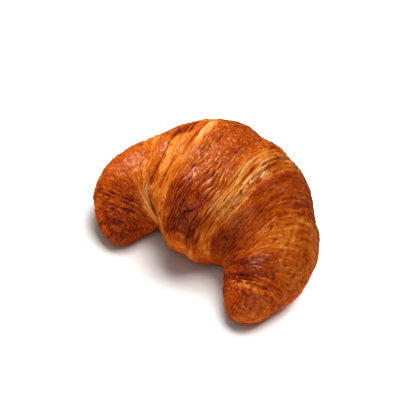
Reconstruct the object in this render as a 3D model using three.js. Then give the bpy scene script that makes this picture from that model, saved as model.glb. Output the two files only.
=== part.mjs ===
// A butter croissant in one piece, lying on its flat underside with both horns pointing forward.
//
// The dough was a long triangle rolled up from its base, so the two long edges of the triangle
// wind outwards over the roll, one to each horn. Every turn of an edge shows as a wrap that
// overlaps the next one: its cut layers step down to a foot, and the next wrap swells up from it.
//
// The solid is a row of rings along a curved spine. Each ring is a rounded section with a flat
// underside, and a relief is added to it for the wraps, their layers and the uneven rise.
// Millimetres, +X along the two horns, +Y towards the back of the crescent, +Z up.

import * as THREE from "three";

// The spine lies in plan, and its place 0 is the middle of the widest wrap.
// evenBend is spread over the whole half, fold is the sharper turn where the horn tucks in.
const LEFT = { length: 77.5, evenBend: 69, fold: 57, foldAt: 50, foldSpread: 13.5 };
const RIGHT = { length: 93, evenBend: 61.5, fold: 48.5, foldAt: 53, foldSpread: 19.5 };
const MIDDLE_BLEND = 0.15; // share of a half over which one even bend passes into the other
const SPINE_STEP = 0.25;

// Half the roll's width at shares of each half's length, and its height as a multiple of that.
const STATIONS = [0.25, 0.5, 0.7, 0.85, 0.95, 1.0];
const WIDEST = { place: -6, halfWidth: 44.6 };
const LEFT_HALF_WIDTHS = [41.9, 31, 26.2, 18.6, 15.6, 15.4];
const RIGHT_HALF_WIDTHS = [42.2, 32, 23.8, 19.6, 17.4, 16.4];
const HEIGHT_RATIO = { middle: 1.48, left: 1.48, right: 1.49 };
const END_POWER = 7; // the higher it is, the blunter the horns' ends
const END_LIFT = 0.35; // share of the height by which an end rounds up from the surface
const INNER_SHARE = 0.91; // the inner side fills at most this share of the bend's radius
const INNER_POWER = 5; // how late it starts to give way to the bend

// The section is an ellipse that reaches a little below the surface it rests on.
const CENTRE_SHARE = 0.46;
const RADIUS_SHARE = 0.54;
const FOOT_ROUNDING = 2.5; // how high the round edge of the flat underside starts

// Each edge at the four angles below, from the middle along the spine: where its foot lies, and
// how wide the cut layers before it are. The foot is drop deep, and backDrop deep at the back.
// terraces is how many layers show, and swell how soon the next wrap has risen.
const LEFT_EDGES = [
  {
    foot: [23.5, 28.8, 39, 49],
    layers: [15, 17, 20, 20],
    backDrop: 0.8,
    drop: 3.2,
    terraces: 4,
    swell: 7,
  },
  {
    foot: [38.5, 40.2, 46.5, 56],
    layers: [6, 6, 6, 6],
    backDrop: 1,
    drop: 2.6,
    terraces: 2,
    swell: 7,
  },
  {
    foot: [62.5, 64.6, 65.8, 68],
    layers: [8, 8, 8, 8],
    backDrop: 1,
    drop: 2.2,
    terraces: 4,
    swell: 6,
  },
];
const RIGHT_EDGES = [
  {
    foot: [26.8, 29, 35.3, 37.6],
    layers: [7.5, 12, 15, 11.5],
    backDrop: -0.3,
    drop: 3.6,
    terraces: 4,
    swell: 6,
  },
  {
    foot: [44.7, 46.5, 54.7, 62],
    layers: [9, 9, 9, 9],
    backDrop: 1,
    drop: 1.8,
    terraces: 3,
    swell: 9,
  },
  {
    foot: [76, 78, 79.7, 79.5],
    layers: [5, 5, 5, 5],
    backDrop: 0.8,
    drop: 2.6,
    terraces: 2,
    swell: 5,
  },
];
const FOOT_ANGLES = [30, 80, 115, 155];
const UNDER_ANGLE = 270;
const TRIANGLE_TIP = 9; // where each edge starts, under the back of the roll
const LAST_TURN = 6; // how far an edge runs on under the horn before it ends
const PUFF = 1.1; // how far the wraps stand out between their edges

// The uneven rise of the dough: long low waves, each a height, a wavelength along the spine,
// a whole number of waves round the roll and a start.
const RISE_WAVES = [
  { height: 0.55, length: 47, round: 1, start: 0.6 },
  { height: 0.4, length: 29, round: 2, start: 2.1 },
  { height: 0.3, length: 19, round: -3, start: 4.0 },
  { height: 0.22, length: 13, round: 4, start: 5.2 },
];
const UNDERSIDE_FADE = { from: -0.8, to: -0.25 }; // sine of the angle where the relief fades in

// Rings and points round a ring, with the rings crowded round the edges.
const RINGS = 131;
const ROUND = 44;
const CROWDING = 1.3;
const CROWDED = 7;

const radians = THREE.MathUtils.degToRad;
const { clamp, lerp, smoothstep } = THREE.MathUtils;

/** A smooth curve through points with rising x that never overshoots between them. */
function curveThrough(xs, ys) {
  const last = xs.length - 1;
  const rises = xs.slice(1).map((x, i) => (ys[i + 1] - ys[i]) / (x - xs[i]));
  const slopes = xs.map((_, i) => {
    if (i === 0) return rises[0];
    if (i === last) return rises[last - 1];
    const [before, after] = [rises[i - 1], rises[i]];
    return before * after <= 0 ? 0 : (2 * before * after) / (before + after);
  });
  return (x) => {
    let i = 0;
    while (i < last - 1 && x > xs[i + 1]) i++;
    const width = xs[i + 1] - xs[i];
    const s = clamp((x - xs[i]) / width, 0, 1);
    const [s2, s3] = [s * s, s * s * s];
    return (
      ys[i] * (2 * s3 - 3 * s2 + 1) +
      ys[i + 1] * (3 * s2 - 2 * s3) +
      slopes[i] * width * (s3 - 2 * s2 + s) +
      slopes[i + 1] * width * (s3 - s2)
    );
  };
}

/** How fast the spine turns at a place along it, in radians a millimetre. */
function bendAt(place) {
  const share = place / (place < 0 ? LEFT.length : RIGHT.length);
  const toRight = 0.5 * (1 + Math.tanh(share / MIDDLE_BLEND));
  const even = lerp(LEFT.evenBend / LEFT.length, RIGHT.evenBend / RIGHT.length, toRight);
  const fold = (half, from) =>
    half.fold / (2 * half.foldSpread * Math.cosh(from / half.foldSpread) ** 2);
  return radians(even + fold(LEFT, place + LEFT.foldAt) + fold(RIGHT, place - RIGHT.foldAt));
}

/** The spine as points a small step apart, walked outwards from the middle. */
function walkSpine(half, direction) {
  const points = [{ x: 0, y: 0, heading: 0 }];
  for (let place = 0; place < half.length + SPINE_STEP; place += SPINE_STEP) {
    const from = points[points.length - 1];
    const middle = direction * (place + SPINE_STEP / 2);
    const turn = -direction * bendAt(middle) * SPINE_STEP;
    const heading = from.heading + turn / 2;
    points.push({
      x: from.x + direction * SPINE_STEP * Math.cos(heading),
      y: from.y + direction * SPINE_STEP * Math.sin(heading),
      heading: from.heading + turn,
    });
  }
  return points;
}
const spine = { left: walkSpine(LEFT, -1), right: walkSpine(RIGHT, 1) };

/** The spine's point and heading at a place along it. */
function spineAt(place) {
  const points = place < 0 ? spine.left : spine.right;
  const at = Math.abs(place) / SPINE_STEP;
  const i = Math.min(Math.floor(at), points.length - 2);
  const [a, b, s] = [points[i], points[i + 1], at - i];
  return {
    x: lerp(a.x, b.x, s),
    y: lerp(a.y, b.y, s),
    heading: lerp(a.heading, b.heading, s),
  };
}

const halfWidthAt = curveThrough(
  [
    ...STATIONS.map((share) => -share * LEFT.length).reverse(),
    WIDEST.place,
    ...STATIONS.map((share) => share * RIGHT.length),
  ],
  [...LEFT_HALF_WIDTHS.toReversed(), WIDEST.halfWidth, ...RIGHT_HALF_WIDTHS],
);

/** The smooth section at a place: its two half widths, height, lift and how far it has closed. */
function sectionAt(place) {
  const isLeft = place < 0;
  const share = Math.min(1, Math.abs(place) / (isLeft ? LEFT.length : RIGHT.length));
  const open = Math.sqrt(Math.max(0, 1 - share ** END_POWER));
  const full = halfWidthAt(place);
  const end = isLeft ? HEIGHT_RATIO.left : HEIGHT_RATIO.right;
  const height = full * lerp(HEIGHT_RATIO.middle, end, share * share);
  const outer = full * open;
  const crowding = (outer * bendAt(place)) / INNER_SHARE;
  const inner = outer / (1 + crowding ** INNER_POWER) ** (1 / INNER_POWER);
  return { outer, inner, height: height * open, lift: height * END_LIFT * (1 - open), open };
}

/** Each side's edges as curves over the angle, every turn starting where the last one ended. */
function windEdges(edges, length) {
  const angles = [UNDER_ANGLE - 360, ...FOOT_ANGLES, UNDER_ANGLE];
  const between = edges.slice(1).map((edge, i) => (edges[i].foot.at(-1) + edge.foot[0]) / 2);
  const end = Math.min(edges.at(-1).foot.at(-1) + LAST_TURN, length);
  const under = [TRIANGLE_TIP, ...between, end];
  return edges.map((edge, i) => {
    const startDrop = i === 0 ? 0 : edge.backDrop;
    const endDrop = i === edges.length - 1 ? 0 : edge.backDrop;
    const drops = [startDrop, edge.backDrop, edge.drop, edge.drop, edge.drop, endDrop];
    return {
      ...edge,
      footAt: curveThrough(angles, [under[i], ...edge.foot, under[i + 1]]),
      layersAt: curveThrough(angles, [edge.layers[0], ...edge.layers, edge.layers[3]]),
      dropAt: curveThrough(angles, drops),
    };
  });
}
const leftEdges = windEdges(LEFT_EDGES, LEFT.length);
const rightEdges = windEdges(RIGHT_EDGES, RIGHT.length);

/** Depth of the valley at a distance past an edge's foot, from 0 on the wraps to 1 at the foot. */
function valley(past, layers, { swell, terraces }) {
  if (past >= swell) return 0;
  if (past > 0) return 1 - Math.sqrt(1 - (1 - past / swell) ** 2);
  if (past <= -layers) return 0;
  const down = 1 + past / layers;
  const step = down * terraces;
  const tread = (Math.floor(step) + smoothstep(step - Math.floor(step), 0.55, 1)) / terraces;
  return lerp(down, tread, 0.7);
}

/** Height added to the smooth section at a place along the spine and an angle round it. */
function reliefAt(place, angle, open) {
  const edges = place < 0 ? leftEdges : rightEdges;
  const out = Math.abs(place);
  const turned = angle > UNDER_ANGLE ? angle - 360 : angle;
  const drops = edges.map((edge) => {
    const past = out - edge.footAt(turned);
    return edge.dropAt(turned) * valley(past, edge.layersAt(turned), edge);
  });
  const rise = RISE_WAVES.reduce((sum, wave) => {
    const along = (2 * Math.PI * place) / wave.length;
    return sum + wave.height * Math.sin(along + wave.round * radians(angle) + wave.start);
  }, 0);
  const { from, to } = UNDERSIDE_FADE;
  return open * smoothstep(Math.sin(radians(angle)), from, to) * (PUFF + rise - Math.max(...drops));
}

/** Presses what reaches below the surface flat, with a rounded edge. */
function pressFlat(z) {
  if (z >= FOOT_ROUNDING) return z;
  if (z <= -FOOT_ROUNDING) return 0;
  return (z + FOOT_ROUNDING) ** 2 / (4 * FOOT_ROUNDING);
}

/** A point of the crust. */
function crustPoint(place, angle) {
  const { x, y, heading } = spineAt(place);
  const { outer, inner, height, lift, open } = sectionAt(place);
  const [cos, sin] = [Math.cos(radians(angle)), Math.sin(radians(angle))];
  const room = lerp(inner / outer || 0, 1, (1 + cos) / 2) ** 2;
  const relief = room * reliefAt(place, angle, open);
  const out = ((outer + inner) / 2 + relief) * cos + (outer - inner) / 2;
  const up = height * CENTRE_SHARE + lift + (height * RADIUS_SHARE + relief) * sin;
  return [x - Math.sin(heading) * out, y + Math.cos(heading) * out, pressFlat(up)];
}

/** How far a ring leans away from its place at the top, so that it follows the edges. */
function leanOf(edges, length) {
  const angles = [-20, ...FOOT_ANGLES, 210, 340];
  const curves = edges.map(({ foot }) => curveThrough(angles, [foot[0], ...foot, foot[3], foot[0]]));
  const places = [0, ...edges.map(({ foot }) => foot[1]), length];
  return (place, angle) => {
    const leans = curves.map((curve, i) => curve(angle > 340 ? angle - 360 : angle) - places[i + 1]);
    return curveThrough(places, [0, ...leans, 0])(place);
  };
}
const leftLean = leanOf(LEFT_EDGES, LEFT.length);
const rightLean = leanOf(RIGHT_EDGES, RIGHT.length);

/** A place on a ring that passes the top of the roll at the given place. */
function leaning(place, angle) {
  return place < 0 ? place - leftLean(-place, angle) : place + rightLean(place, angle);
}

/** Where the rings pass the top of the roll, closer together at the edges and towards the ends. */
function ringPlaces() {
  const feet = [
    ...LEFT_EDGES.map(({ foot }) => 2 - foot[1]),
    ...RIGHT_EDGES.map(({ foot }) => foot[1] - 2),
  ];
  const placeOf = (even) => {
    const share = (even * (9 - even ** 8)) / 8;
    return share * (share < 0 ? LEFT.length : RIGHT.length);
  };
  const steps = 2000;
  const counts = [0];
  for (let step = 0; step < steps; step++) {
    const place = placeOf(-1 + (2 * (step + 0.5)) / steps);
    const crowd = feet.reduce((sum, at) => sum + Math.exp(-(((place - at) / CROWDED) ** 2)), 0);
    counts.push(counts[step] + 1 + CROWDING * crowd);
  }
  const places = [];
  let step = 0;
  for (let ring = 1; ring <= RINGS; ring++) {
    const wanted = (counts[steps] * ring) / (RINGS + 1);
    while (counts[step + 1] < wanted) step++;
    const within = (wanted - counts[step]) / (counts[step + 1] - counts[step]);
    places.push(placeOf(-1 + (2 * (step + within)) / steps));
  }
  return places;
}

/** The rings joined to one closed mesh, with a point at each horn's end. */
function croissantGeometry() {
  const positions = [];
  for (const place of ringPlaces()) {
    for (let point = 0; point < ROUND; point++) {
      const angle = (360 * point) / ROUND;
      positions.push(...crustPoint(leaning(place, angle), angle));
    }
  }
  const leftEnd = RINGS * ROUND;
  positions.push(...crustPoint(-LEFT.length, 0), ...crustPoint(RIGHT.length, 0));

  const faces = [];
  for (let point = 0; point < ROUND; point++) {
    const next = (point + 1) % ROUND;
    faces.push(leftEnd, next, point);
    for (let ring = 0; ring < RINGS - 1; ring++) {
      const [here, beyond] = [ring * ROUND, (ring + 1) * ROUND];
      faces.push(here + point, here + next, beyond + next);
      faces.push(here + point, beyond + next, beyond + point);
    }
    const lastRing = (RINGS - 1) * ROUND;
    faces.push(leftEnd + 1, lastRing + point, lastRing + next);
  }

  const geometry = new THREE.BufferGeometry();
  geometry.setAttribute("position", new THREE.Float32BufferAttribute(positions, 3));
  geometry.setIndex(faces);
  geometry.computeVertexNormals();
  return geometry;
}

const crust = new THREE.MeshStandardMaterial({
  color: 0xb4601f,
  roughness: 0.42,
  metalness: 0,
});

const geometry = croissantGeometry();
geometry.computeBoundingBox();
const box = geometry.boundingBox;

const croissant = new THREE.Mesh(geometry, crust);
croissant.name = "croissant";
croissant.position.set(-(box.min.x + box.max.x) / 2, -(box.min.y + box.max.y) / 2, -box.min.z);

const part = new THREE.Group();
part.add(croissant);

export default part;
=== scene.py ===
"""A butter croissant, egg-washed and baked to a deep glossy brown, lying on a pale surface.

The crust is one closed mesh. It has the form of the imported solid, worked out from the same named
sizes: a rounded section is carried along a curved spine, and the relief of the wraps is added to
it. The finer relief of a laminated crust goes on top: the leaves of the cut layers, the gaps
between them, wrinkles, blisters and loose flakes.

Sizes are in millimetres and angles in degrees until a mesh is made. A place on the crust is given
by the place along the spine where its ring passes the top of the roll, below zero towards the left
horn, and by the angle round the roll: 0 faces the back of the crescent, 90 up, 180 the front.
"""

import logging
import math
from dataclasses import dataclass, fields, replace
from enum import Enum

import bpy
import numpy as np
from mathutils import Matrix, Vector


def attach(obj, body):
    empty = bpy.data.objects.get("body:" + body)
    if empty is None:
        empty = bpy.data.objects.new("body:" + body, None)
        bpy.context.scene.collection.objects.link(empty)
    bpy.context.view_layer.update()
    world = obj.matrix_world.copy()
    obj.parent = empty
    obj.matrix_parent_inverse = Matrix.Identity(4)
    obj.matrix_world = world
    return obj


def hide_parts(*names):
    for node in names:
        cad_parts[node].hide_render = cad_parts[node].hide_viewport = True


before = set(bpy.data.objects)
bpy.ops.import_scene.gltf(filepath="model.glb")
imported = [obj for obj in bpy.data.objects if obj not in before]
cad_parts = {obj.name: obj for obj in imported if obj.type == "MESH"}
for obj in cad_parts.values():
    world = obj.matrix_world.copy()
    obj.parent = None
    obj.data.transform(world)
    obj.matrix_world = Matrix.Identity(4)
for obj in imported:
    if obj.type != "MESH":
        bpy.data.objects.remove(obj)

log = logging.getLogger("croissant")

Values = np.ndarray
Span = tuple[float, float]
Many = tuple[float, ...]

MM = 0.001
ROLL_TO_FRAME_MM = (-2.905, 7.18, 0.0)
AIM_MM = (0.5, -2.7, 25.0)
MATH = "ShaderNodeMath"
MULTIPLY_ADD = {"operation": "MULTIPLY_ADD"}


def eased(x: Values, low: float, high: float) -> Values:
    """A smooth rise from 0 at low to 1 at high."""
    s = np.clip((np.asarray(x, float) - low) / (high - low), 0.0, 1.0)
    return s * s * (3.0 - 2.0 * s)


def within(x: Values, start: float, end: float, soft: float) -> Values:
    """1 between start and end and 0 outside, with borders that are soft wide."""
    half = soft / 2
    return eased(x, start - half, start + half) * (1 - eased(x, end - half, end + half))


def halfway(values: Values) -> Values:
    """The values halfway between neighbours."""
    return (values[1:] + values[:-1]) / 2


def summed(steps: Values) -> Values:
    """The running total of some steps, from 0 on."""
    return np.concatenate([[0], np.cumsum(steps)])


def curve_through(xs: Many, ys: Values, x: Values) -> Values:
    """A smooth curve through points with rising x that never overshoots between them.

    Args:
        xs: Where the points are.
        ys: Their values, one row for each point. A row may hold one value for every x.
        x: Where the curve is read.

    Returns:
        The curve's values at x.
    """
    at, to = np.asarray(xs, float), np.asarray(ys, float)
    widths = np.diff(at).reshape((-1,) + (1,) * (to.ndim - 1))
    rises = np.diff(to, axis=0) / widths
    before, after = rises[:-1], rises[1:]
    total = np.where(np.abs(before + after) < 1e-12, 1.0, before + after)
    inner = np.where(before * after <= 0, 0.0, 2 * before * after / total)
    slopes = np.concatenate([rises[:1], inner, rises[-1:]])
    i = np.clip(np.searchsorted(at, x) - 1, 0, len(at) - 2)

    def pick(rows: Values, index: Values) -> Values:
        """The row that each x falls in."""
        return rows[index] if rows.ndim == 1 else np.take_along_axis(rows, index[None], 0)[0]

    width = np.diff(at)[i]
    s = np.clip((x - at[i]) / width, 0.0, 1.0)
    s2, s3 = s * s, s * s * s
    return (
        pick(to, i) * (2 * s3 - 3 * s2 + 1)
        + pick(to, i + 1) * (3 * s2 - 2 * s3)
        + pick(slopes, i) * width * (s3 - 2 * s2 + s)
        + pick(slopes, i + 1) * width * (s3 - s2)
    )


class DoughNoise:
    """Seeded unevenness, the same on every run."""

    SIZE = 256
    FADE = 0.55
    SMALLEST_BUMP = 0.25
    LARGEST_BUMP = 0.65

    def __init__(self, seed: int) -> None:
        """Draws the random slopes and spots that the unevenness is made from."""
        draw = np.random.default_rng(seed)
        self.order = np.concatenate([draw.permutation(self.SIZE)] * 2)
        self.turns = draw.uniform(0, 2 * math.pi, self.SIZE)
        self.spots = draw.uniform(0, 1, (self.SIZE, 3))

    def _pick(self, column: Values, row: Values) -> Values:
        """The random entry that belongs to a square of the grid."""
        last = self.SIZE - 1
        return self.order[(self.order[column & last] + row) & last]

    def waves(self, x: Values, y: Values) -> Values:
        """Smooth unevenness between about -0.7 and 0.7, with one hump to a unit."""
        column, row = np.floor(x).astype(int), np.floor(y).astype(int)
        fx, fy = x - column, y - row

        def corner(dx: int, dy: int) -> Values:
            """The slope at one corner of the square."""
            turn = self.turns[self._pick(column + dx, row + dy)]
            return np.cos(turn) * (fx - dx) + np.sin(turn) * (fy - dy)

        ease_x = fx**3 * (fx * (fx * 6 - 15) + 10)
        ease_y = fy**3 * (fy * (fy * 6 - 15) + 10)
        low = corner(0, 0) + ease_x * (corner(1, 0) - corner(0, 0))
        high = corner(0, 1) + ease_x * (corner(1, 1) - corner(0, 1))
        return low + ease_y * (high - low)

    def octaves(self, x: Values, y: Values, count: int) -> Values:
        """Waves with ever finer and lower waves on them."""
        shift = 17.3
        return sum(
            self.waves(x * 2**i + shift * i, y * 2**i - shift * i) * self.FADE**i
            for i in range(count)
        )

    def bumps(self, x: Values, y: Values, share: float) -> Values:
        """Round bumps from 0 to 1, about one to a unit square.

        Args:
            x: Across, in units.
            y: Along, in units.
            share: How many of the squares hold a bump.

        Returns:
            The height of the highest bump at each point.
        """
        column, row = np.floor(x).astype(int), np.floor(y).astype(int)
        more = self.LARGEST_BUMP - self.SMALLEST_BUMP
        highest = np.zeros_like(x)
        for dx in (-1, 0, 1):
            for dy in (-1, 0, 1):
                spot = self.spots[self._pick(column + dx, row + dy)]
                away_x = column + dx + spot[..., 0] - x
                away_y = row + dy + spot[..., 1] - y
                size = self.SMALLEST_BUMP + more * spot[..., 2]
                bump = np.clip(1 - (away_x**2 + away_y**2) / size**2, 0, 1)
                there = np.where(spot[..., 2] < share, size / self.LARGEST_BUMP, 0.0)
                highest = np.maximum(highest, bump * there)
        return highest


class Side(Enum):
    """The two halves of the roll."""

    LEFT = -1
    RIGHT = 1


FOOT_ANGLES = (30.0, 80.0, 115.0, 155.0)
UNDER_ANGLE = 270.0
LEAN_ANGLES = (-20.0, *FOOT_ANGLES, 210.0, 340.0)
ALL_ROUND = (-360.0, 720.0)


def from_under(angle: Values) -> Values:
    """The same angle, counted from -90 to 270, so that it jumps under the roll only."""
    return np.where(angle > UNDER_ANGLE, angle - 360, angle)


@dataclass(frozen=True)
class DoughEdge:
    """One turn of the dough's edge, with its sizes at the four foot angles.

    Its cut layers are terraces. tread is how much of each is level, and stepped is how far they
    stand out from a plain slope.
    """

    foot: Many
    layers: Many
    back_drop: float
    drop: float
    terraces: int
    swell: float
    tread: float = 0.55
    stepped: float = 0.7

    def valley(self, past: Values, layers: Values) -> Values:
        """Depth of the valley past the foot, from 0 on the wraps to 1 at the foot."""
        down = np.clip(1 + past / layers, 0, 1)
        step = down * self.terraces
        level = np.floor(step)
        stairs = (level + eased(step - level, self.tread, 1)) / self.terraces
        before = np.where(past <= -layers, 0, down + self.stepped * (stairs - down))
        after = 1 - np.sqrt(np.maximum(0, 1 - (1 - np.clip(past / self.swell, 0, 1)) ** 2))
        return np.where(past > 0, after, before)


@dataclass(frozen=True)
class HalfRoll:
    """One half of the roll, from the middle of the widest wrap to a horn."""

    side: Side
    length: float
    even_bend: float
    fold: float
    fold_at: float
    fold_spread: float
    half_widths: Many
    end_ratio: float
    edges: tuple[DoughEdge, ...]

    def even_turn(self) -> float:
        """Bend to a millimetre that is spread over the whole half."""
        return self.even_bend / self.length

    def fold_turn(self, place: Values) -> Values:
        """Bend to a millimetre where the horn tucks in."""
        gone = (place * self.side.value - self.fold_at) / self.fold_spread
        return self.fold / (2 * self.fold_spread) / np.cosh(gone) ** 2


@dataclass(frozen=True)
class Roll:
    """The rolled dough: its spine, its section, and the relief of the wraps."""

    left: HalfRoll = HalfRoll(
        side=Side.LEFT,
        length=77.5,
        even_bend=69,
        fold=57,
        fold_at=50,
        fold_spread=13.5,
        half_widths=(41.9, 31, 26.2, 18.6, 15.6, 15.4),
        end_ratio=1.48,
        edges=(
            DoughEdge((23.5, 28.8, 39, 49), (15, 17, 20, 20), 0.8, 3.2, 4, 7),
            DoughEdge((38.5, 40.2, 46.5, 56), (6, 6, 6, 6), 1, 2.6, 2, 7),
            DoughEdge((62.5, 64.6, 65.8, 68), (8, 8, 8, 8), 1, 2.2, 4, 6),
        ),
    )
    right: HalfRoll = HalfRoll(
        side=Side.RIGHT,
        length=93,
        even_bend=61.5,
        fold=48.5,
        fold_at=53,
        fold_spread=19.5,
        half_widths=(42.2, 32, 23.8, 19.6, 17.4, 16.4),
        end_ratio=1.49,
        edges=(
            DoughEdge((26.8, 29, 35.3, 37.6), (7.5, 12, 15, 11.5), -0.3, 3.6, 4, 6),
            DoughEdge((44.7, 46.5, 54.7, 62), (9, 9, 9, 9), 1, 1.8, 3, 9),
            DoughEdge((76, 78, 79.7, 79.5), (5, 5, 5, 5), 0.8, 2.6, 2, 5),
        ),
    )
    stations: Many = (0.25, 0.5, 0.7, 0.85, 0.95, 1.0)
    widest_place: float = -6
    widest_half_width: float = 44.6
    middle_ratio: float = 1.48
    middle_blend: float = 0.15
    spine_step: float = 0.25
    end_power: float = 7
    end_lift: float = 0.35
    inner_share: float = 0.91
    inner_power: float = 5
    centre_share: float = 0.46
    radius_share: float = 0.54
    foot_rounding: float = 2.5
    relief_fade: Span = (-0.8, -0.25)
    triangle_tip: float = 9
    last_turn: float = 6
    puff: float = 1.1
    rise_waves: tuple[Many, ...] = (
        (0.55, 47, 1, 0.6),
        (0.4, 29, 2, 2.1),
        (0.3, 19, -3, 4.0),
        (0.22, 13, 4, 5.2),
    )

    def half(self, side: Side) -> HalfRoll:
        """The half on one side."""
        return self.left if side is Side.LEFT else self.right

    def bend(self, place: Values) -> Values:
        """How fast the spine turns at a place along it, in radians a millimetre."""
        share = np.where(place < 0, place / self.left.length, place / self.right.length)
        to_right = 0.5 * (1 + np.tanh(share / self.middle_blend))
        even = (1 - to_right) * self.left.even_turn() + to_right * self.right.even_turn()
        return np.radians(even + self.left.fold_turn(place) + self.right.fold_turn(place))

    def spine(self, place: Values) -> tuple[Values, Values, Values]:
        """The spine's point in plan and its heading at a place along it."""
        step = self.spine_step
        walked = np.arange(-self.left.length - 1, self.right.length + 1 + step, step)
        heading = -summed(halfway(self.bend(walked)) * step)
        middle = int(np.argmin(np.abs(walked)))
        heading -= heading[middle]
        between = halfway(heading)
        x, y = summed(np.cos(between) * step), summed(np.sin(between) * step)
        return (
            np.interp(place, walked, x - x[middle]),
            np.interp(place, walked, y - y[middle]),
            np.interp(place, walked, heading),
        )

    def half_width(self, place: Values) -> Values:
        """Half the roll's width at a place, before it closes at the horns."""
        left = [-share * self.left.length for share in reversed(self.stations)]
        right = [share * self.right.length for share in self.stations]
        widths = [*reversed(self.left.half_widths), self.widest_half_width, *self.right.half_widths]
        return curve_through((*left, self.widest_place, *right), widths, place)

    def section(self, place: Values) -> tuple[Values, Values, Values, Values, Values]:
        """The smooth section: outer and inner half width, height, lift, and how open it is."""
        length = np.where(place < 0, self.left.length, self.right.length)
        share = np.minimum(1, np.abs(place) / length)
        opened = np.sqrt(np.maximum(0, 1 - share**self.end_power))
        full = self.half_width(place)
        end = np.where(place < 0, self.left.end_ratio, self.right.end_ratio)
        height = full * (self.middle_ratio + (end - self.middle_ratio) * share**2)
        outer = full * opened
        crowding = outer * self.bend(place) / self.inner_share
        inner = outer / (1 + crowding**self.inner_power) ** (1 / self.inner_power)
        return outer, inner, height * opened, height * self.end_lift * (1 - opened), opened

    def wraps(self, place: Values, angle: Values) -> Values:
        """Height that the wraps add to the smooth section, before it fades under the roll."""
        turned = from_under(angle)
        angles = (UNDER_ANGLE - 360, *FOOT_ANGLES, UNDER_ANGLE)
        deepest = np.zeros_like(place)
        for half in (self.left, self.right):
            here = place < 0 if half.side is Side.LEFT else place >= 0
            edges = half.edges
            between = [(a.foot[3] + b.foot[0]) / 2 for a, b in zip(edges, edges[1:])]
            end = min(edges[-1].foot[3] + self.last_turn, half.length)
            under = [self.triangle_tip, *between, end]
            depths = []
            for i, edge in enumerate(edges):
                feet = (under[i], *edge.foot, under[i + 1])
                start_drop = 0 if i == 0 else edge.back_drop
                end_drop = 0 if i == len(edges) - 1 else edge.back_drop
                drops = (start_drop, edge.back_drop, edge.drop, edge.drop, edge.drop, end_drop)
                widths = (edge.layers[0], *edge.layers, edge.layers[3])
                past = np.abs(place) - curve_through(angles, feet, turned)
                depth = edge.valley(past, curve_through(angles, widths, turned))
                depths.append(curve_through(angles, drops, turned) * depth)
            deepest = np.where(here, np.max(depths, axis=0), deepest)
        rise = sum(
            height * np.sin(2 * math.pi * place / length + round_ * np.radians(angle) + start)
            for height, length, round_, start in self.rise_waves
        )
        return self.puff + rise - deepest

    def press_flat(self, z: Values) -> Values:
        """Presses what reaches below the surface flat, with a rounded edge."""
        edge = self.foot_rounding
        return np.where(z >= edge, z, np.where(z <= -edge, 0, (z + edge) ** 2 / (4 * edge)))

    def crust_point(self, place: Values, angle: Values, extra: Values | float = 0.0) -> Values:
        """Points of the crust in the roll's own axes.

        Args:
            place: Places along the spine.
            angle: Angles round the roll.
            extra: Height of the fine relief there.

        Returns:
            The points, with x, y and z last.
        """
        x, y, heading = self.spine(place)
        outer, inner, height, lift, opened = self.section(place)
        cos, sin = np.cos(np.radians(angle)), np.sin(np.radians(angle))
        crowd = inner / np.maximum(outer, 1e-9)
        room = (crowd + (1 - crowd) * (1 + cos) / 2) ** 2
        shown = eased(sin, *self.relief_fade)
        relief = room * opened * shown * (self.wraps(place, angle) + extra)
        out = ((outer + inner) / 2 + relief) * cos + (outer - inner) / 2
        up = height * self.centre_share + lift + (height * self.radius_share + relief) * sin
        across = [x - np.sin(heading) * out, y + np.cos(heading) * out]
        return np.stack([*across, self.press_flat(up)], -1)

    def ring_place(self, top: Values, angle: Values) -> Values:
        """The place along the spine of a ring that passes the top of the roll at top."""
        turned = np.where(angle > LEAN_ANGLES[-1], angle - 360, angle)
        place = np.array(top, float)
        for half in (self.left, self.right):
            here = top < 0 if half.side is Side.LEFT else top >= 0
            leans = []
            for edge in half.edges:
                feet = (edge.foot[0], *edge.foot, edge.foot[3], edge.foot[0])
                leans.append(curve_through(LEAN_ANGLES, feet, turned) - edge.foot[1])
            straight = np.zeros_like(leans[0])
            places = (0, *(edge.foot[1] for edge in half.edges), half.length)
            out = np.clip(top * half.side.value, 0, half.length)
            lean = curve_through(places, np.stack([straight, *leans, straight]), out)
            place = np.where(here, top + half.side.value * lean, place)
        return place


@dataclass(frozen=True)
class Stretch:
    """A stretch of crust between two tops and two angles, with soft borders."""

    tops: Span
    angles: Span
    borders: Span = (6.0, 20.0)

    def share(self, top: Values, angle: Values) -> Values:
        """1 inside the stretch and 0 outside it."""
        top_border, angle_border = self.borders
        return within(top, *self.tops, top_border) * within(angle, *self.angles, angle_border)


@dataclass(frozen=True)
class Waves:
    """Random waves of one height, with their lengths in mm across and along the strands."""

    height: float
    across: float
    along: float
    start: Span = (0.0, 0.0)
    octaves: int = 1

    def at(self, noise: DoughNoise, across: Values, along: Values) -> Values:
        """The waves' height at places across and along the strands."""
        x = across / self.across + self.start[0]
        y = along / self.along + self.start[1]
        return self.height * noise.octaves(x, y, self.octaves)


@dataclass(frozen=True)
class Spots:
    """Points of the crust whose relief is worked out together.

    top is where a point's ring passes the top of the roll, and angle is counted from under it.
    across and along are its place in mm on the strands, which wander off their rings by wander.
    """

    top: Values
    angle: Values
    across: Values
    along: Values
    wander: Values


@dataclass
class Relief:
    """The crust's fine relief: its height in mm, and the shares of what it is made of. The share in
    the gaps is painted shade, and the share on the crests paints crests paler and hollows darker,
    as painted highlight and shade.
    """

    height: Values
    lip: Values
    gap: Values
    bubble: Values
    bubbly: Values
    blister: Values
    cut: Values
    tint: Values
    creased: Values
    crest_shading: Values

    @classmethod
    def flat(cls, like: Values) -> "Relief":
        """No relief, at as many points as there are in like."""
        return cls(*(np.zeros_like(like) for _ in fields(cls)))


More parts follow.
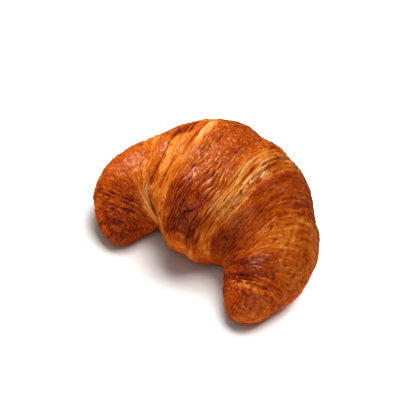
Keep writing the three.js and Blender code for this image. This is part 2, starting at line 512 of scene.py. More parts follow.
@dataclass(frozen=True)
class CutLayers:
    """Leaves of cut dough before an edge's foot, each with a lip on its outward side.

    Leaves differ in thickness and in brown. Where a broad leaf lies over the others, they hardly
    show. A part of a leaf is given by its start, its end and how soft its borders are, in
    spacings.
    """

    tops: Span
    angles: Span
    spacing: float
    height: float
    broad_leaf: Stretch | None = None
    broad_share: float = 0.75
    borders: Span = (1.6, 22.0)
    lip_end: float = 0.84
    lip_power: float = 1.6
    lip_part: Many = (0.55, 0.86, 0.2)
    gap_shade_part: Many = (0.9, 1.1, 0.1)
    mean_rise: float = 0.42
    usual: float = 0.55
    uneven: float = 1.6
    thickest: float = 1.3
    thickness_step: float = 7.7
    thickness_run: float = 9.0
    brown_step: float = 3.37
    brown_start: float = 40.0
    brown_run: float = 13.0

    def add(self, relief: Relief, spots: Spots, noise: DoughNoise) -> None:
        """Adds the leaves, their lips, their own browns, and painted shade in the gaps between
        them.
        """
        there = Stretch(self.tops, self.angles, self.borders).share(spots.across, spots.angle)
        plain = 1.0
        if self.broad_leaf:
            plain = 1 - self.broad_share * self.broad_leaf.share(spots.across, spots.angle)
        start = min(abs(top) for top in self.tops)
        phase = (np.abs(spots.across) + spots.wander) / self.spacing
        leaf = np.floor(phase)
        gone = phase - leaf
        own = noise.waves(leaf * self.thickness_step + start, spots.along / self.thickness_run)
        thick = there * plain * np.clip(self.usual + self.uneven * own, 0.0, self.thickest)
        rising = (gone / self.lip_end) ** self.lip_power
        lip = np.where(gone < self.lip_end, rising, 1 - eased(gone, self.lip_end, 1.0))
        relief.height += self.height * thick * (lip - self.mean_rise)
        relief.lip += thick * within(gone, *self.lip_part)
        # The gaps between the leaves get painted shade.
        relief.gap += thick * within(gone, *self.gap_shade_part)
        leaf_place = leaf * self.brown_step + self.brown_start + start
        brown = noise.waves(leaf_place, spots.along / self.brown_run)
        relief.tint += self.height * there * plain * brown
        relief.cut = np.maximum(relief.cut, there)


@dataclass(frozen=True)
class Ripples:
    """Fine wavy ridges, like a thumb print's, where the glazed dough shrank as it baked."""

    tops: Span
    angles: Span
    spacing: float
    height: float
    borders: Span = (5.0, 24.0)
    bends: tuple[Waves, ...] = (
        Waves(1.5, 6, 10, (8, 0)),
        Waves(0.6, 2.6, 4.2, (0, 4)),
        Waves(1.3, 3.6, 6.5, (2, 9)),
    )
    usual: float = 0.55
    uneven: float = 2.1
    highest: float = 1.4
    ridge_step: float = 5.3
    ridge_run: float = 5.0
    mean_rise: float = 0.4
    roundness: float = 2.2
    crest_shading_share: float = 1.4
    gap_shade_share: float = 0.9
    gap_shade_start: float = 0.72

    def add(self, relief: Relief, spots: Spots, noise: DoughNoise) -> None:
        """Adds the ridges, painted highlight on their crests and painted shade in the lines between
        them.
        """
        there = Stretch(self.tops, self.angles, self.borders).share(spots.across, spots.angle)
        bends = sum(bend.at(noise, spots.across, spots.along) for bend in self.bends)
        phase = (spots.across + bends) / self.spacing
        ridge = np.floor(phase)
        own = noise.waves(ridge * self.ridge_step, spots.along / self.ridge_run)
        strength = there * np.clip(self.usual + self.uneven * own, 0.0, self.highest)
        away = np.abs(2 * (phase - ridge) - 1)
        rise = self.height * strength * (self.mean_rise - away**self.roundness)
        relief.height += rise
        # Crests are painted paler and hollows darker: painted highlight and shade.
        relief.crest_shading += self.crest_shading_share * rise
        # The lines between the ridges are painted shade.
        line = eased(away, self.gap_shade_start, 1.0)
        relief.gap += self.gap_shade_share * min(1.0, self.height) * strength * line


@dataclass(frozen=True)
class Gap:
    """An opening where two layers have parted, along the rings, with painted shade in it."""

    top: float
    angles: Span
    width: float
    depth: float
    border: float = 9.0
    wander_share: float = 0.8
    shade_strength: float = 1.4
    ends: Waves = Waves(5, 7, 3)
    sides: Waves = Waves(0.9, 3.3, 5)
    openness: Span = (0.2, 1.6)

    def add(self, relief: Relief, spots: Spots, noise: DoughNoise) -> None:
        """Opens the parting, with ragged ends and sides, and paints shade into it."""
        ends = self.ends.at(noise, spots.along, spots.across)
        sides = replace(self.sides, start=(self.top, 0)).at(noise, spots.along, spots.across)
        past = spots.across + self.wander_share * spots.wander - self.top
        open_here = within(spots.angle + ends, *self.angles, self.border)
        dip = open_here * np.exp(-((past / self.width) ** 2)) * np.clip(1 + sides, *self.openness)
        relief.height -= self.depth * dip
        # The parting is sunk and also painted dark: painted shade.
        relief.gap += self.shade_strength * dip


@dataclass(frozen=True)
class Wrinkle:
    """Wavy creases of one width along the strands, in mm."""

    width: float
    height: float
    crest_shading_share: float
    length: float = 3.6
    start: float = 13.7
    bends: Waves = Waves(0.9, 2.6, 1.4)
    sharpness: float = 4.2

    def at(self, noise: DoughNoise, spots: Spots) -> Values:
        """The creases, from about -1 in their hollows to 1 on their crests."""
        across, along = spots.across / self.width, spots.along / (self.length * self.width)
        start = self.start * self.width
        bent = across + replace(self.bends, start=(start, 0)).at(noise, across, along)
        return 1 - self.sharpness * np.abs(noise.waves(bent, along + start))


@dataclass(frozen=True)
class Wrinkles:
    """The wrinkled skin of the baked dough, strongest where the glaze is thick."""

    broad: Wrinkle = Wrinkle(3.0, 0.16, 0.25)
    middling: Wrinkle = Wrinkle(1.7, 0.3, 0.25)
    narrow: Wrinkle = Wrinkle(1.0, 0.18, 0.2)
    usual: float = 0.45
    places: tuple[tuple[float, Stretch], ...] = (
        (0.55, Stretch((-12, 22), (80, 175), (6, 24))),
        (0.4, Stretch((-77, -50), (50, 190))),
        (-0.25, Stretch((29, 76), ALL_ROUND)),
    )
    least_middling: float = 0.35
    cut_loss: float = 0.6
    least_creased: float = 0.1
    more_creased: float = 0.75
    cut_creased: float = 0.1

    def add(self, relief: Relief, spots: Spots, noise: DoughNoise) -> None:
        """Adds the wrinkles, after the cut layers."""
        strong = self.usual
        for weight, stretch in self.places:
            strong = strong + weight * stretch.share(spots.top, spots.angle)
        strong = np.clip(strong, 0, 1)
        broad = self.broad.at(noise, spots) * strong
        middling = self.middling.at(noise, spots)
        narrow = self.narrow.at(noise, spots)
        kept = self.least_middling + (1 - self.least_middling) * strong
        relief.height += self.broad.height * broad * (1 - self.cut_loss * relief.cut)
        relief.height += self.middling.height * kept * middling
        relief.height += self.narrow.height * narrow
        # Crests are painted paler and hollows darker: painted highlight and shade.
        relief.crest_shading += self.broad.crest_shading_share * broad
        relief.crest_shading += self.middling.crest_shading_share * middling
        relief.crest_shading += self.narrow.crest_shading_share * narrow
        creased = self.least_creased + self.more_creased * strong + self.cut_creased * relief.cut
        relief.creased += np.clip(creased, 0, 1)


@dataclass(frozen=True)
class Crumple:
    """The crumpled skin of the horns, pitted by fine bubbles."""

    height: float = 0.75
    crest_shading_share: float = 0.7
    usual: float = 0.2
    pitted: float = 0.5
    folds: Waves = Waves(1.0, 2.4, 2.9, (60, 0), 2)
    horns: tuple[Stretch, ...] = (
        Stretch((-80, -30), (0, 130), (8, 30)),
        Stretch((44, 96), (-10, 170), (8, 30)),
    )

    def add(self, relief: Relief, spots: Spots, noise: DoughNoise) -> None:
        """Adds the crumpled skin."""
        horns = sum(horn.share(spots.top, spots.angle) for horn in self.horns)
        strength = self.usual + (1 - self.usual) * horns
        folded = strength * self.folds.at(noise, spots.across, spots.along)
        relief.height += self.height * folded
        # Raised folds are painted paler and hollows darker: painted highlight and shade.
        relief.crest_shading += self.crest_shading_share * folded
        relief.bubbly += self.pitted * horns


@dataclass(frozen=True)
class Blisters:
    """Small blisters under the glaze, most on the widest wrap's back."""

    height: float = 0.2
    cell: Span = (1.5, 2.3)
    share: float = 0.8
    usual: float = 0.45
    most: Stretch = Stretch((-8, 19), (30, 105), (4, 20))
    rounded: Span = (0.1, 0.7)
    cut_loss: float = 0.6

    def add(self, relief: Relief, spots: Spots, noise: DoughNoise) -> None:
        """Adds the blisters, after the cut layers."""
        across, along = self.cell
        bumps = noise.bumps(spots.across / across, spots.along / along, self.share)
        many = self.usual + (1 - self.usual) * self.most.share(spots.top, spots.angle)
        relief.blister += many * eased(bumps, *self.rounded)
        relief.height += self.height * relief.blister * (1 - self.cut_loss * relief.cut)


@dataclass(frozen=True)
class BurstBubbles:
    """Burst bubbles with raised brown rims, on the broad bare leaves of the first edges."""

    height: float = 0.6
    cell: Span = (2.9, 3.1)
    start: Span = (11, 5)
    share: float = 0.9
    rim_at: float = 0.3
    rim_width: float = 0.17
    burst: Span = (0.45, 0.8)
    sunk: float = 0.6
    level: float = 0.2
    paler: float = 0.5
    crease_loss: float = 0.6
    leaves: tuple[tuple[float, Stretch], ...] = (
        (1.0, Stretch((-29, -17), (60, 150), (3, 16))),
        (0.6, Stretch((24, 29), (66, 130), (2, 12))),
    )

    def add(self, relief: Relief, spots: Spots, noise: DoughNoise) -> None:
        """Adds the bubbles, after the wrinkles and the crumpled skin."""
        bubbled = sum(many * leaf.share(spots.across, spots.angle) for many, leaf in self.leaves)
        x = spots.across / self.cell[0] + self.start[0]
        y = spots.along / self.cell[1] + self.start[1]
        bubble = noise.bumps(x, y, self.share)
        rim = np.exp(-(((bubble - self.rim_at) / self.rim_width) ** 2))
        middle = eased(bubble, *self.burst)
        relief.height += self.height * bubbled * (rim - self.sunk * middle - self.level)
        relief.bubble += bubbled * (rim - self.paler * middle)
        relief.bubbly += bubbled
        relief.creased *= 1 - self.crease_loss * bubbled


@dataclass(frozen=True)
class Swelling:
    """Broad unevenness, as the dough rose more in some places than in others."""

    broad: Waves = Waves(0.9, 9, 12, (0, 31))
    small: Waves = Waves(0.5, 3.4, 4.6, (5, 0))
    cut_loss: float = 0.4

    def add(self, relief: Relief, spots: Spots, noise: DoughNoise) -> None:
        """Adds the swelling, which follows the rings."""
        broad = self.broad.at(noise, spots.top, spots.along)
        relief.height += broad * (1 - self.cut_loss * relief.cut)
        relief.height += self.small.at(noise, spots.top, spots.along)


@dataclass(frozen=True)
class BakeAndLightPatch:
    """A stretch of crust painted paler (below zero) or darker (above zero) than its wrap. Most are
    a bake that differs; those marked paint light or shade.
    """

    tops: Span
    angles: Span
    change: float
    borders: Span = (2.6, 16)

    def at(self, top: Values, angle: Values) -> Values:
        """How much darker the patch is at some tops and angles."""
        return self.change * Stretch(self.tops, self.angles, self.borders).share(top, angle)


@dataclass(frozen=True)
class Flow:
    """How far the strands leave their rings between two tops, in mm at some angles."""

    tops: Span
    soft: float
    angles: Many
    offsets: Many

    def offset(self, top: Values, angle: Values) -> Values:
        """The strands' distance from their rings."""
        away = curve_through(self.angles, self.offsets, angle)
        return away * within(top, *self.tops, self.soft)


@dataclass(frozen=True)
class BrowningAndShading:
    """How far the crust has baked, from 0 for pale dough to 1 for the darkest brown, with painted
    light and shade.

    by_top holds the bake of the roll by the place of its rings. Lips, blisters and bubble middles
    are paler, bubble rims darker, and streaks follow the strands. Gaps get painted shade, crests
    painted highlight and hollows painted shade, and some listed stretches paint light or shade
    where marked.
    """

    by_top: tuple[Span, ...] = (
        (-78, 0.72), (-66, 0.71), (-59, 0.67), (-53, 0.59), (-40, 0.53), (-30, 0.53), (-20, 0.43),
        (-10, 0.45), (-6, 0.65), (8, 0.68), (15, 0.62), (20, 0.47), (29, 0.42), (32, 0.63),
        (42, 0.67), (49, 0.55), (58, 0.53), (64, 0.62), (74, 0.68), (80, 0.71), (93, 0.69),
    )
    bake_and_light_patches: tuple[BakeAndLightPatch, ...] = (
        BakeAndLightPatch((-13, -8), (56, 90), -0.26),
        BakeAndLightPatch((-29, -7), (10, 56), 0.12),
        BakeAndLightPatch((-24, -19), (60, 92), 0.1),
        BakeAndLightPatch((-57, -50), (102, 118), 0.08),
        BakeAndLightPatch((-41, -36), (74, 114), 0.08),
        BakeAndLightPatch((-29, -18), (112, 124), 0.12),
        BakeAndLightPatch((-77, -62), (60, 130), 0.02),
        BakeAndLightPatch((-18, -13), (88, 102), 0.1),
        BakeAndLightPatch((-29, -19), (72, 112), -0.24),
        BakeAndLightPatch((-29, -19), (46, 72), 0.3),
        BakeAndLightPatch((17, 22), (38, 58), 0.15),
        BakeAndLightPatch((-57, -36), (90, 122), -0.08),
        BakeAndLightPatch((-40.6, -36.5), (35, 125), -0.18),
        BakeAndLightPatch((-58, -30), (20, 90), 0.04),
        BakeAndLightPatch((-77, -65), (40, 110), 0.08),
        BakeAndLightPatch((-60, -50), (88, 118), 0.1),
        BakeAndLightPatch((-65, -50), (118, 132), -0.08),
        BakeAndLightPatch((29, 35), (45, 100), 0.13),
        # Paler: painted light in the shadow under the first right edge's foot.
        BakeAndLightPatch((29, 34), (114, 134), -0.18),
        BakeAndLightPatch((-12, -7), (132, 148), -0.22),
        BakeAndLightPatch((-7, 0), (148, 164), -0.2),
        # These three are paler in the crease by the left horn, where the crust faces down and in:
        # painted light.
        BakeAndLightPatch((-60, -24), (126, 190), -0.36),
        BakeAndLightPatch((-36, -23), (142, 190), -0.16),
        BakeAndLightPatch((-57, -41), (130, 190), -0.12),
        # Paler: painted sheen on the middle wrap, where the glints fall.
        BakeAndLightPatch((-7, 15), (98, 122), -0.06),
        # Darker on the front of the middle wrap, which faces away from the light: painted shade.
        BakeAndLightPatch((-7, 19), (124, 172), 0.13),
        BakeAndLightPatch((-12, 19), (174, 205), -0.16),
        BakeAndLightPatch((18.8, 21.5), (60, 140), -0.08),
        BakeAndLightPatch((17.5, 21.5), (118, 145), -0.12),
        BakeAndLightPatch((18.8, 24), (140, 180), 0.12),
        # Darker low on the front of the middle wrap, away from the light: painted shade.
        BakeAndLightPatch((-7, 19), (150, 176), 0.06),
        # Paler: cut dough, and painted light on the side of the leaves that lies in shade.
        BakeAndLightPatch((23.8, 29.2), (66, 135), -0.28),
        BakeAndLightPatch((20.5, 24), (45, 135), -0.06),
        BakeAndLightPatch((17, 21.5), (58, 98), -0.08),
        BakeAndLightPatch((14, 26), (148, 186), 0.12),
        BakeAndLightPatch((29.5, 46), (118, 170), 0.1),
        BakeAndLightPatch((46, 68), (106, 145), 0.16),
        BakeAndLightPatch((68, 76), (50, 130), 0.07),
        BakeAndLightPatch((62, 76), (45, 120), 0.05),
        BakeAndLightPatch((78.2, 80.2), (58, 125), -0.26),
        BakeAndLightPatch((82, 92), (66, 112), 0.06),
        # Darker: painted shade on the right horn's lower edge, against light thrown up from the
        # floor.
        BakeAndLightPatch((74, 86), (142, 170), 0.09),
        BakeAndLightPatch((61, 68), (76, 100), 0.08),
        BakeAndLightPatch((54, 64), (130, 150), 0.1),
        BakeAndLightPatch((52, 64), (42, 100), -0.06),
        BakeAndLightPatch((62, 78), (86, 148), 0.07),
        BakeAndLightPatch((28, 36), (148, 185), 0.1),
        BakeAndLightPatch((62, 78), (10, 62), -0.1),
        BakeAndLightPatch((80, 93), (-60, 40), -0.12),
    )
    moved_top: Waves = Waves(1.6, 3.4, 8, octaves=3)
    moved_angle: Waves = Waves(8, 5, 8, (20, 0), 3)
    streaks: Waves = Waves(0.05, 1.1, 7, octaves=3)
    cut_streaks: float = 2.0
    mottle: Waves = Waves(0.08, 4, 7, (50, 0), 3)
    own_brown: float = 0.5
    lip: float = -0.15
    # Gaps get painted shade; crests get painted highlight and hollows painted shade.
    gap: float = 0.13
    crest_shading: float = -0.17
    blister: float = -0.3
    bubble: float = 0.2
    under: float = 0.66
    under_mottle: Waves = Waves(0.12, 9, 9)
    under_fade: Span = (0.0, 0.6)

    def at(self, relief: Relief, spots: Spots, noise: DoughNoise) -> Values:
        """The bake at some spots with their relief, painted light and shade included."""
        top = spots.across + self.moved_top.at(noise, spots.across, spots.along)
        angle = spots.angle + self.moved_angle.at(noise, spots.across, spots.along)
        tops, levels = zip(*self.by_top)
        level = curve_through(tops, levels, top)
        level += sum(patch.at(top, angle) for patch in self.bake_and_light_patches)
        streaks = self.streaks.at(noise, spots.across, spots.along)
        level += (1 + self.cut_streaks * relief.cut) * streaks
        level += self.mottle.at(noise, spots.across, spots.along)
        level += self.own_brown * relief.tint
        level += self.lip * relief.lip + self.gap * relief.gap + self.crest_shading * relief.crest_shading
        level += self.blister * relief.blister * (1 - relief.cut) + self.bubble * relief.bubble
        beneath = self.under + self.under_mottle.at(noise, spots.top, spots.along)
        lower = eased(-np.sin(np.radians(spots.angle)), *self.under_fade)
        return np.clip(level * (1 - lower) + lower * beneath, 0, 1)


@dataclass(frozen=True)
class CrustDetail:
    """The fine relief of the crust and how far each spot of it has baked."""

    roll: Roll
    seed: int = 7
    radius_share: float = 0.87
    # The most painted shade that the gaps can get.
    darkest_gap_shade: float = 1.4
    brushed: Span = (-0.35, 0.25)
    front_angles: Span = (160, 185)
    front_loss: float = 0.6
    cut_loss: float = 0.55
    flows: tuple[Flow, ...] = (
        Flow(
            (-29, 7),
            12,
            (30, 60, 100, 118, 134, 148, 165, 190),
            (-2, -1, 0, -3.2, -6, -8, -9, -10),
        ),
        Flow((-62, -41), 14, (95, 125, 160, 190), (0, 2, 6, 8)),
    )
    wander: tuple[Waves, ...] = (Waves(0.9, 9, 21, (3.1, 0)), Waves(0.45, 4, 8, (0, 7)))
    cut_layers: tuple[CutLayers, ...] = (
        CutLayers((-29, -9), (35, 190), 3.1, 0.75, Stretch((-27.5, -19), (72, 122), (3, 16))),
        CutLayers((-40.2, -34), (20, 190), 1.5, 0.6),
        CutLayers((-76, -57), (0, 200), 1.25, 0.42),
        CutLayers((17.5, 29), (5, 200), 1.7, 0.95),
        CutLayers((38, 47), (20, 190), 1.7, 0.3),
        CutLayers((47, 61), (15, 150), 2.1, 0.5),
        CutLayers((73, 78.2), (20, 160), 1.3, 0.7),
    )
    ripples: tuple[Ripples, ...] = (
        Ripples((-9, 20), (92, 182), 2.2, 1.3),
        Ripples((-7, 18), (40, 92), 2.1, 0.35),
        Ripples((-60, -41), (60, 190), 1.7, 0.55),
        Ripples((-39, -29), (40, 120), 1.6, 0.25),
        Ripples((60, 66), (20, 150), 1.8, 0.5),
        Ripples((28, 46), (60, 170), 1.9, 0.3),
        Ripples((66, 76), (30, 160), 1.9, 0.6),
        Ripples((79, 92), (30, 160), 1.9, 0.5),
        Ripples((-76, -60), (60, 190), 1.5, 0.35),
    )
    gaps: tuple[Gap, ...] = (
        Gap(-13.6, (52, 92), 0.5, 0.9),
        Gap(-19.2, (66, 78), 0.7, 1.1),
        Gap(-16.5, (102, 128), 0.7, 1.2),
        Gap(-18.6, (82, 112), 0.4, 0.9),
        Gap(-38.7, (44, 80), 0.5, 0.9),
        Gap(-60.3, (60, 125), 0.3, 0.45),
        Gap(-62.0, (45, 120), 0.3, 0.5),
        Gap(-63.8, (60, 130), 0.3, 0.5),
        Gap(24.0, (18, 72), 0.5, 1.2),
        Gap(23.0, (74, 100), 0.45, 1.0),
        Gap(26.3, (55, 84), 0.4, 0.8),
        Gap(21.4, (118, 150), 0.45, 1.0),
        Gap(25.2, (134, 176), 0.6, 1.5),
        Gap(19.2, (120, 172), 0.4, 0.8),
        Gap(76.8, (55, 118), 0.45, 0.8),
    )
    wrinkles: Wrinkles = Wrinkles()
    crumple: Crumple = Crumple()
    blisters: Blisters = Blisters()
    bubbles: BurstBubbles = BurstBubbles()
    swelling: Swelling = Swelling()
    browning_and_shading: BrowningAndShading = BrowningAndShading()

    def radius(self, top: Values) -> Values:
        """The roll's radius at a top, which turns angles into millimetres."""
        return self.radius_share * self.roll.half_width(top)

    def spots(self, top: Values, angle: Values) -> Spots:
        """The places of points on the strands.

        Args:
            top: Where each point's ring passes the top of the roll.
            angle: Each point's angle round the roll.

        Returns:
            The same points, with their places in millimetres.
        """
        noise = DoughNoise(self.seed)
        turned = from_under(angle)
        across = top - sum(flow.offset(top, turned) for flow in self.flows)
        along = np.radians(turned - 90) * self.radius(top)
        wander = sum(waves.at(noise, across, along) for waves in self.wander)
        return Spots(top, turned, across, along, wander)

    def relief(self, spots: Spots) -> Relief:
        """The fine relief of the crust at some spots."""
        noise = DoughNoise(self.seed)
        made = Relief.flat(spots.top)
        skin = (self.wrinkles, self.crumple, self.blisters, self.bubbles, self.swelling)
        for feature in (*self.cut_layers, *self.ripples, *self.gaps, *skin):
            feature.add(made, spots, noise)
        made.lip = np.clip(made.lip, 0, 1)
        made.gap = np.clip(made.gap, 0, self.darkest_gap_shade)
        made.bubbly = np.clip(made.bubbly, 0, 1)
        return made

    def bake(self, spots: Spots, relief: Relief) -> Values:
        """How far the crust has baked at some spots, with painted light and shade in it."""
        return self.browning_and_shading.at(relief, spots, DoughNoise(self.seed + 1))

    def glaze(self, spots: Spots, relief: Relief) -> Values:
        """How well the egg wash covers the crust, from 0 under the roll to 1 on the wraps."""
        reached = eased(np.sin(np.radians(spots.angle)), *self.brushed)
        front = 1 - self.front_loss * eased(spots.angle, *self.front_angles)
        return reached * front * (1 - self.cut_loss * relief.cut)


def linear_from_hex(code: str) -> tuple[float, float, float, float]:
    """An sRGB hex colour as linear red, green, blue and full alpha."""
    parts = [int(code[i : i + 2], 16) / 255 for i in (1, 3, 5)]
    bent = [c / 12.92 if c <= 0.04045 else ((c + 0.055) / 1.055) ** 2.4 for c in parts]
    return (*bent, 1.0)


def add_node(
    tree: bpy.types.NodeTree, kind: str, settings: dict | None = None, inputs: dict | None = None
) -> bpy.types.Node:
    """Adds a node to a material.

    Args:
        tree: The material's node tree.
        kind: The node's type name.
        settings: Values for the node's own properties.
        inputs: For each input by name or number, a value, an output to link to it, or a node
            whose first output is linked to it.

    Returns:
        The new node.
    """
    node = tree.nodes.new(kind)
    for name, value in (settings or {}).items():
        setattr(node, name, value)
    for socket, value in (inputs or {}).items():
        if isinstance(value, bpy.types.Node):
            value = value.outputs[0]
        if isinstance(value, bpy.types.NodeSocket):
            tree.links.new(value, node.inputs[socket])
        else:
            node.inputs[socket].default_value = value
    return node


@dataclass(frozen=True)
class EggWashedCrust:
    """Butter dough, brushed with egg and baked.

    The egg browns to a thin glassy skin, so the wraps shine in small broken glints over a deep
    red-brown. The cut layers had no egg, so they stay paler and duller. Grain, creases and pits
    are drawn coarser than real ones, which are too fine to show, and creases and pits are painted
    darker as painted shade.
    """

    name: str = "egg_washed_baked_crust"
    browns: tuple[tuple[float, str], ...] = (
        (0.0, "#F4B67B"),
        (0.22, "#E79444"),
        (0.42, "#CC6F1B"),
        (0.58, "#BB5507"),
        (0.74, "#983A03"),
        (0.88, "#722101"),
        (1.0, "#480C00"),
    )
    ior: float = 1.45
    gloss: float = 0.1
    glossy: float = 0.45
    dull: float = 0.7
    skin: float = 0.44
    skin_roughness: float = 0.15
    grain_mm: float = 0.55
    grain_stretch: float = 2.0
    grain_height_mm: float = 0.22
    grain_strength: float = 0.7
    grain_bake: float = 0.5
    crease_mm: float = 1.1
    crease_stretch: float = 5.0
    crease_share: float = 0.05
    crease_depth: float = 0.6
    crease_shade: float = 0.08
    pit_mm: float = 1.7
    pit_bottom: float = 0.14
    pit_edge: float = 0.4

    @staticmethod
    def streaks(
        tree: bpy.types.NodeTree, rolled: bpy.types.NodeSocket, size: Span, look: dict[str, float]
    ) -> bpy.types.Node:
        """Adds random streaks along the strands.

        Args:
            tree: The material's node tree.
            rolled: Each point's place on the roll, in mm.
            size: A streak's width in mm, and its length in widths.
            look: The other inputs of the noise that makes the streaks.

        Returns:
            The node whose value is the streaks' strength, from 0 to 1.
        """
        width, stretch = size
        along = 1 / (width * stretch)
        scale = (1 / width, along, along)
        places = add_node(tree, "ShaderNodeMapping", inputs={"Vector": rolled, "Scale": scale})
        return add_node(tree, "ShaderNodeTexNoise", inputs={"Vector": places, "Scale": 1.0, **look})

    def creases(
        self, tree: bpy.types.NodeTree, kept: dict[str, bpy.types.NodeSocket]
    ) -> bpy.types.Node:
        """Adds the finest creases, thin lines along the strands, and the pits of burst bubbles.

        Args:
            tree: The material's node tree.
            kept: The values kept with the mesh, by name.

        Returns:
            The node whose value is 1 in a crease or a pit and 0 beside it.
        """
        size = (self.crease_mm, self.crease_stretch)
        folds = self.streaks(tree, kept["rolled"], size, {"Detail": 2.5, "Distortion": 0.7})
        from_middle = add_node(tree, MATH, {"operation": "SUBTRACT"}, {0: folds, 1: 0.5})
        away = add_node(tree, MATH, {"operation": "ABSOLUTE"}, {0: from_middle})
        thin = {"Value": away, "From Max": self.crease_share, "To Min": 1.0, "To Max": 0.0}
        line = add_node(tree, "ShaderNodeMapRange", inputs=thin)
        lines = add_node(tree, MATH, {"operation": "MULTIPLY"}, {0: line, 1: kept["creased"]})
        even = {"Vector": kept["rolled"], "Scale": 1 / self.pit_mm}
        cells = add_node(tree, "ShaderNodeTexVoronoi", inputs=even)
        round_pit = {
            "Value": cells,
            "From Min": self.pit_bottom,
            "From Max": self.pit_edge,
            "To Min": 1.0,
            "To Max": 0.0,
        }
        pit = add_node(tree, "ShaderNodeMapRange", inputs=round_pit)
        return add_node(tree, MATH, MULTIPLY_ADD, {0: pit, 1: kept["bubbly"], 2: lines})

    def material(self) -> bpy.types.Material:
        """The crust's material, driven by the values kept with the mesh."""
        made = bpy.data.materials.new(self.name)
        made.use_nodes = True
        tree = made.node_tree
        tree.nodes.clear()
        kept = {}
        for name in ("bake", "glaze", "creased", "bubbly", "rolled"):
            value = add_node(tree, "ShaderNodeAttribute", {"attribute_name": name})
            kept[name] = value.outputs["Vector" if name == "rolled" else "Fac"]
        size = (self.grain_mm, self.grain_stretch)
        grain = self.streaks(tree, kept["rolled"], size, {"Detail": 4.0, "Roughness": 0.65})
        creases = self.creases(tree, kept)
        uneven = {0: grain, 1: self.grain_bake, 2: -self.grain_bake / 2}
        shift = add_node(tree, MATH, MULTIPLY_ADD, uneven)
        # Creases and pits are painted darker here, as painted shade, on the grain's random tone.
        darker = add_node(tree, MATH, MULTIPLY_ADD, {0: creases, 1: self.crease_shade, 2: shift})
        clamped = {"operation": "ADD", "use_clamp": True}
        level = add_node(tree, MATH, clamped, {0: kept["bake"], 1: darker})
        surface = add_node(tree, MATH, MULTIPLY_ADD, {0: creases, 1: -self.crease_depth, 2: grain})
        brown = add_node(tree, "ShaderNodeValToRGB", inputs={"Fac": level})
        stops = brown.color_ramp.elements
        for i, (at, colour) in enumerate(self.browns):
            stop = stops[i] if i < 2 else stops.new(at)
            stop.position = at
            stop.color = linear_from_hex(colour)
        shine = {"Value": kept["glaze"], "To Min": self.dull, "To Max": self.glossy}
        rough = add_node(tree, "ShaderNodeMapRange", inputs=shine)
        skin = add_node(tree, MATH, {"operation": "MULTIPLY"}, {0: kept["glaze"], 1: self.skin})
        grained = {
            "Strength": self.grain_strength,
            "Distance": self.grain_height_mm * MM,
            "Height": surface,
        }
        bump = add_node(tree, "ShaderNodeBump", inputs=grained)
        shader = add_node(
            tree,
            "ShaderNodeBsdfPrincipled",
            inputs={
                "Base Color": brown,
                "Roughness": rough,
                "IOR": self.ior,
                "Specular IOR Level": self.gloss,
                "Coat Weight": skin,
                "Coat Roughness": self.skin_roughness,
                "Normal": bump,
                "Coat Normal": bump,
            },
        )
        add_node(tree, "ShaderNodeOutputMaterial", inputs={"Surface": shader})
        return made


def new_mesh(name: str, points: Values, faces: list[tuple[int, ...]]) -> bpy.types.Object:
    """A smooth-shaded mesh object from points in millimetres."""
    mesh = bpy.data.meshes.new(name)
    mesh.from_pydata((points * MM).tolist(), [], faces)
    mesh.validate()
    mesh.shade_smooth()
    made = bpy.data.objects.new(name, mesh)
    bpy.context.scene.collection.objects.link(made)
    return made


def set_values(piece: bpy.types.Object, name: str, values: Values) -> None:
    """Keeps a number, or a vector, with every point of a piece for its material."""
    kind, key = ("FLOAT", "value") if values.ndim == 1 else ("FLOAT_VECTOR", "vector")
    kept = piece.data.attributes.new(name=name, type=kind, domain="POINT")
    kept.data.foreach_set(key, values.astype(np.float32).ravel())


